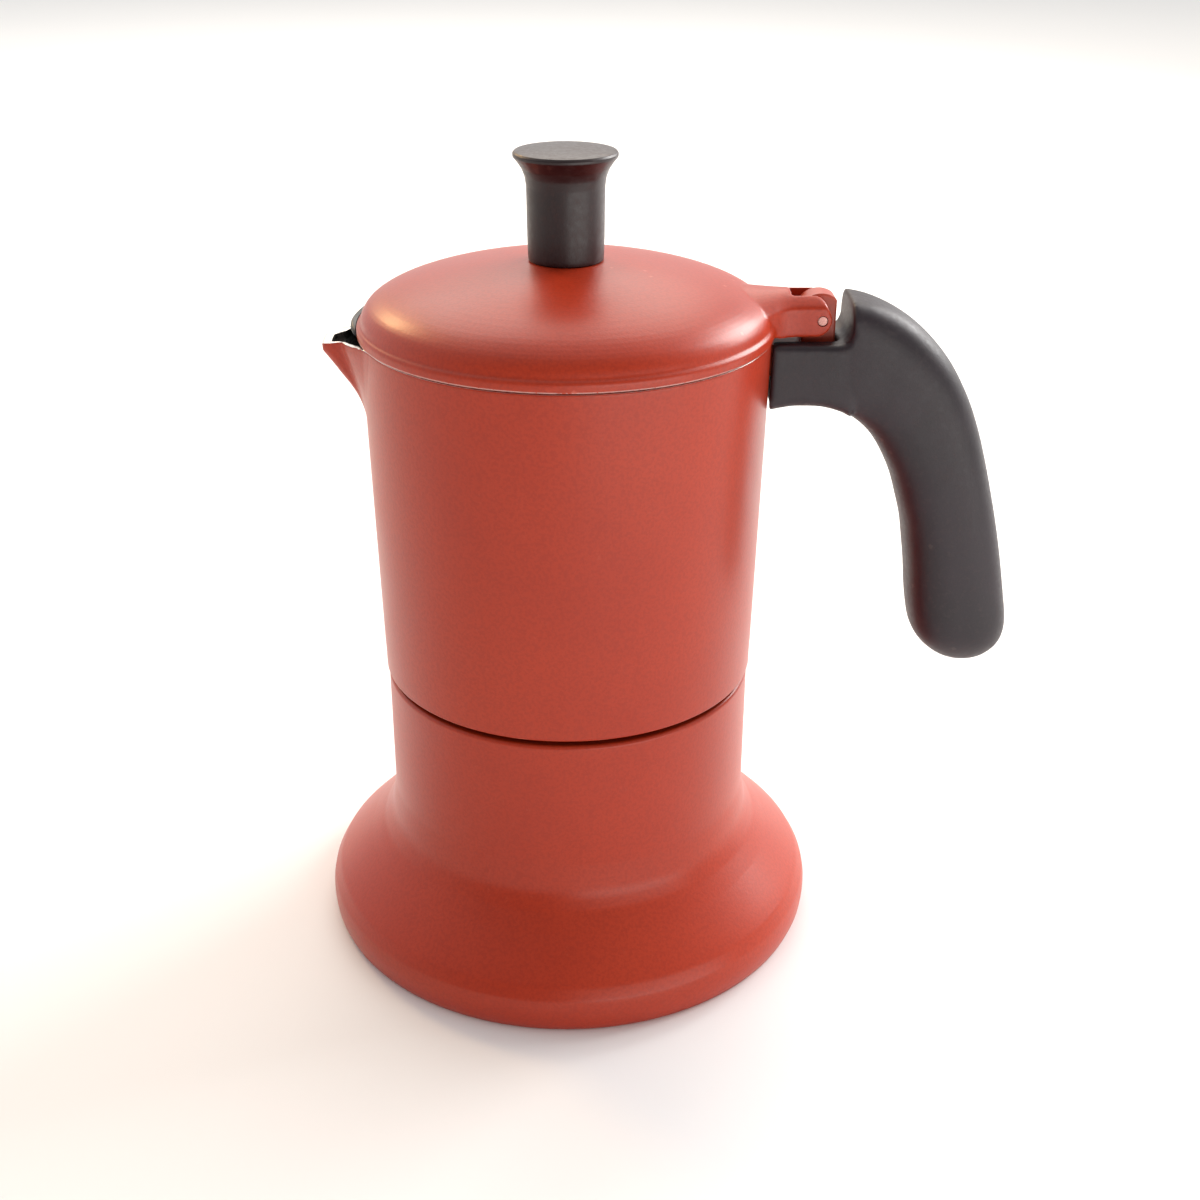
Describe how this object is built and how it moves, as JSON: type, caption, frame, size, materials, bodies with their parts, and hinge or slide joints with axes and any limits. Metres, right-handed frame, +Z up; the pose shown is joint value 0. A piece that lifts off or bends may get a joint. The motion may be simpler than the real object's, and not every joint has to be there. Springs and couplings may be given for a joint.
{
  "type": "moka coffee pot",
  "caption": "Painted stovetop moka coffee pot with a flared foot, side spout, hinged lid, tall round knob and curved dark handle.",
  "frame": {"origin": "centre of the round foot, on the plane it stands on", "axes": "+Z up along the pot axis, +X towards the handle, -X towards the spout, +Y towards the safety valve"},
  "size_m": [0.1476, 0.1076, 0.1669],
  "materials": {
    "paint": "satin coral-red enamel on cast aluminium",
    "aluminium": "bare turned aluminium",
    "brass": "machined brass",
    "steel": "zinc-plated steel",
    "gasket": "white silicone",
    "valve_seal": "red-brown fibre washer",
    "lid_seal": "black silicone",
    "bakelite": "fine-grained dark brown bakelite"
  },
  "bodies": {
    "base": {"boiler": "paint", "boiler_foot": "paint", "boiler_floor": "paint", "valve_body": "brass", "valve_seal": "valve_seal", "valve_cap": "brass", "funnel": "aluminium", "funnel_sieve": "aluminium"},
    "valve": {"valve_plunger": "steel", "valve_spring": "steel"},
    "strainer": {"gasket": "gasket", "filter_plate": "aluminium"},
    "upper": {"collector": "paint", "riser_tube": "aluminium", "riser_cap": "aluminium", "handle": "bakelite", "handle_screw": "steel", "handle_washer": "steel"},
    "top": {"lid": "paint", "lid_seal": "lid_seal", "hinge_pin": "steel", "knob": "bakelite", "knob_insert": "brass", "knob_screw": "steel", "knob_washer": "steel"}
  },
  "joints": [
    {"name": "collector_lift", "type": "slide", "parent": "base", "child": "strainer", "axis": [0, 0, 1], "range_m": [0, 0.006]},
    {"name": "collector_unscrew", "type": "hinge", "parent": "strainer", "child": "upper", "pos_m": [0, 0, 0.06], "axis": [0, 0, 1], "range_deg": [0, 540]},
    {"name": "lid_hinge", "type": "hinge", "parent": "upper", "child": "top", "pos_m": [0.0499, 0, 0.1347], "axis": [0, 1, 0], "range_deg": [0, 95]},
    {"name": "valve_blow_off", "type": "slide", "parent": "base", "child": "valve", "axis": [0, 1, 0], "range_m": [0, 0.0015], "stiffness_N_per_m": 2500}
  ],
  "couplings": [
    {"joint": "collector_lift", "follows": "collector_unscrew", "m_per_rad": 0.00063662}
  ]
}
